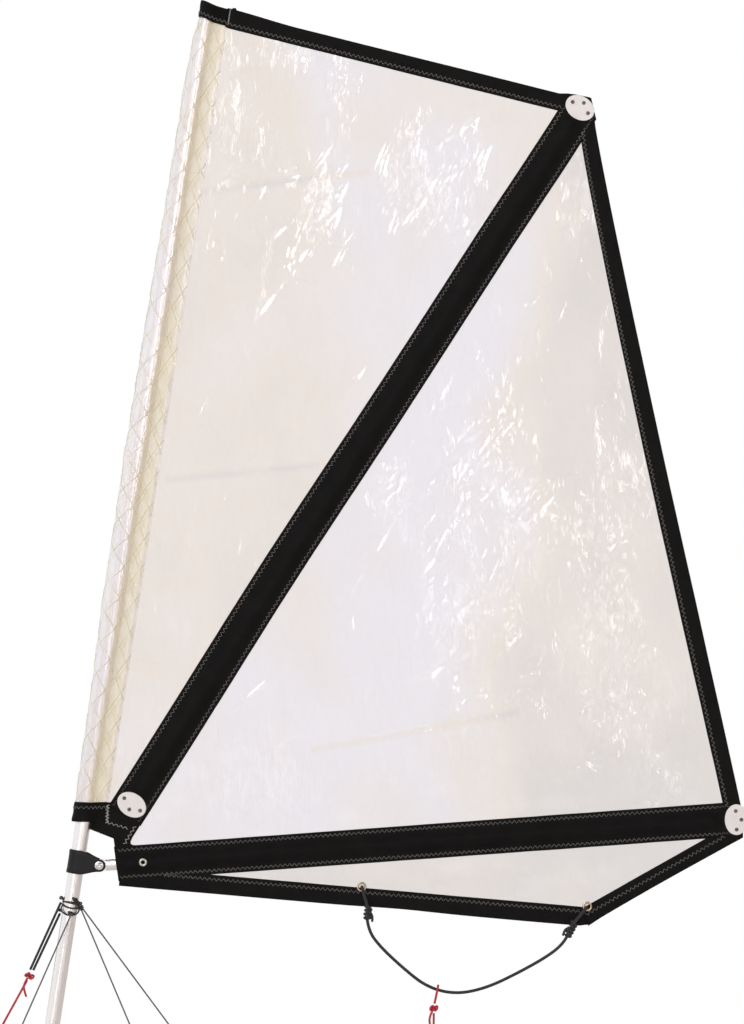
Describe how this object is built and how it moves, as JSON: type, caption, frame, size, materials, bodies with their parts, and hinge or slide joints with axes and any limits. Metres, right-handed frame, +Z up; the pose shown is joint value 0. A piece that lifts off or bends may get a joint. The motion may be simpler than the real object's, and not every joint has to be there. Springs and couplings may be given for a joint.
{
  "type": "kayak downwind sail rig",
  "caption": "Small stayed downwind sail on a raked tube mast: clear film panels in black tape, diagonal spar and boom in fabric sleeves, shock-cord bridle with sheet, hinged deck foot.",
  "frame": {"origin": "underside of the deck plate, at the middle of its four holes, where the raked mast's axis meets the deck", "axes": "+Z up from the deck, +X aft along the sail and boom, +Y to the side; the mast leans 8.7 degrees towards +X in the XZ plane"},
  "size_m": [1.1198, 0.3189, 1.5937],
  "materials": {
    "film": "clear crinkled film",
    "luff_film": "clear film with a thread lattice",
    "black_fabric": "matte coated black tape",
    "tube_alloy": "bright drawn tube",
    "ferrule_alloy": "plain drawn tube",
    "spar_composite": "glass fibre tube",
    "black_plastic": "moulded black plastic",
    "strap_plastic": "half-gloss black plastic band",
    "white_plate": "white plastic plate",
    "rivet_alloy": "grey rivet",
    "stainless": "brushed stainless steel",
    "grommet_metal": "plated eyelet",
    "bungee": "braided shock cord",
    "stay_cord": "thin braided cord",
    "red_rope": "red braided rope"
  },
  "bodies": {
    "deck_fitting": {"deck_plate": "black_plastic", "foot_bracket": "stainless", "bracket_screws": "stainless", "hinge_pin_and_ring": "stainless"},
    "mast": {"mast_foot_plug": "black_plastic", "mast_lower_tube": "tube_alloy", "mast_upper_tube": "tube_alloy", "mast_ferrule": "ferrule_alloy", "mast_top_cap": "black_plastic", "stay_collar": "stay_cord"},
    "luff": {"luff_sleeve": "luff_film", "luff_foot_band": "black_fabric", "head_cap": "black_fabric", "luff_panel": "film", "head_tape": "black_fabric", "tack_patch": "black_fabric", "gooseneck_strap": "strap_plastic", "gooseneck_pin": "stainless"},
    "sprit": {"sprit_sleeve": "black_fabric", "sprit_lower_tube": "spar_composite", "sprit_upper_tube": "spar_composite", "sprit_ferrule": "ferrule_alloy", "sprit_end_plugs": "black_plastic", "leech_panel": "film", "leech_tape": "black_fabric", "peak_plates": "white_plate", "peak_rivets": "rivet_alloy", "tack_plates": "white_plate", "tack_rivets": "rivet_alloy"},
    "boom": {"boom_sleeve": "black_fabric", "boom_front_tube": "tube_alloy", "boom_rear_tube": "tube_alloy", "boom_ferrule": "ferrule_alloy", "boom_end_plug": "black_plastic", "boom_front_plug": "black_plastic", "boom_eyelet": "grommet_metal", "foot_panel": "film", "foot_tape": "black_fabric", "foot_tape_rear": "black_fabric", "foot_grommets": "grommet_metal", "clew_plates": "white_plate", "clew_rivets": "rivet_alloy", "bridle_knots": "bungee", "bridle_loop_front": "bungee", "bridle_loop_rear": "bungee"},
    "bridle": {"bridle_cord": "bungee"},
    "sheet": {"sheet_loop": "red_rope", "sheet_line": "red_rope", "sheet_knots": "red_rope"},
    "aft_stay_far": {"aft_stay_far_line": "stay_cord", "aft_stay_far_ends": "stay_cord"},
    "aft_stay_near": {"aft_stay_near_line": "stay_cord", "aft_stay_near_ends": "stay_cord"},
    "fore_stay_near": {"fore_stay_near_line": "stay_cord", "fore_stay_near_ends": "stay_cord"},
    "forestay": {"forestay_cord_upper": "bungee", "forestay_cord_lower": "bungee", "forestay_line": "red_rope", "forestay_ends": "red_rope"}
  },
  "joints": [
    {"name": "mast_fold", "type": "hinge", "parent": "deck_fitting", "child": "mast", "pos_m": [0.00551, 0, 0.036], "axis": [0, 1, 0], "range_deg": [-90, 0]},
    {"name": "boom_swing", "type": "hinge", "parent": "mast", "child": "luff", "pos_m": [0.04538, 0, 0.29655], "axis": [0.1513, 0, 0.9885], "range_deg": [-85, 85]},
    {"name": "sprit_fold", "type": "hinge", "parent": "luff", "child": "sprit", "pos_m": [0.082, 0, 0.318], "axis": [0, -1, 0], "range_deg": [0, 7], "deforming": ["luff_panel", "head_tape"]},
    {"name": "boom_fold", "type": "hinge", "parent": "sprit", "child": "boom", "pos_m": [0.082, 0, 0.318], "axis": [0, -1, 0], "range_deg": [0, 38], "deforming": ["leech_panel", "leech_tape", "sprit_sleeve", "boom_sleeve", "tack_patch"]},
    {"name": "bridle_swing", "type": "hinge", "parent": "boom", "child": "bridle", "pos_m": [0.4795, 0, 0.2472], "axis": [0.9966, 0, -0.0822], "range_deg": [-60, 60]},
    {"name": "sheet_swing", "type": "hinge", "parent": "bridle", "child": "sheet", "pos_m": [0.583, 0, 0.1332], "axis": [0, 1, 0], "range_deg": [-30, 30]},
    {"name": "aft_stay_far_swing", "type": "hinge", "parent": "mast", "child": "aft_stay_far", "pos_m": [0.0565, 0.0065, 0.2545], "axis": [-0.673, 0.7324, 0.103], "range_deg": [0, 49.04]},
    {"name": "aft_stay_near_swing", "type": "hinge", "parent": "mast", "child": "aft_stay_near", "pos_m": [0.0558, -0.0065, 0.252], "axis": [0.7785, 0.6162, -0.1191], "range_deg": [0, 44.25]},
    {"name": "fore_stay_near_swing", "type": "hinge", "parent": "mast", "child": "fore_stay_near", "pos_m": [0.0396, -0.016, 0.243], "axis": [0.7699, -0.6272, -0.1178], "range_deg": [0, 20.09]},
    {"name": "forestay_swing", "type": "hinge", "parent": "mast", "child": "forestay", "pos_m": [0.0248, 0.0059, 0.2626], "axis": [0, -1, 0], "range_deg": [0, 14.47]}
  ],
  "couplings": [
    {"joint": "sprit_fold", "follows": "boom_fold", "ratio": 0.184},
    {"joint": "aft_stay_far_swing", "follows": "mast_fold", "ratio": -0.54478},
    {"joint": "aft_stay_near_swing", "follows": "mast_fold", "ratio": -0.49156},
    {"joint": "fore_stay_near_swing", "follows": "mast_fold", "ratio": -0.22311},
    {"joint": "forestay_swing", "follows": "mast_fold", "ratio": -0.16067}
  ]
}
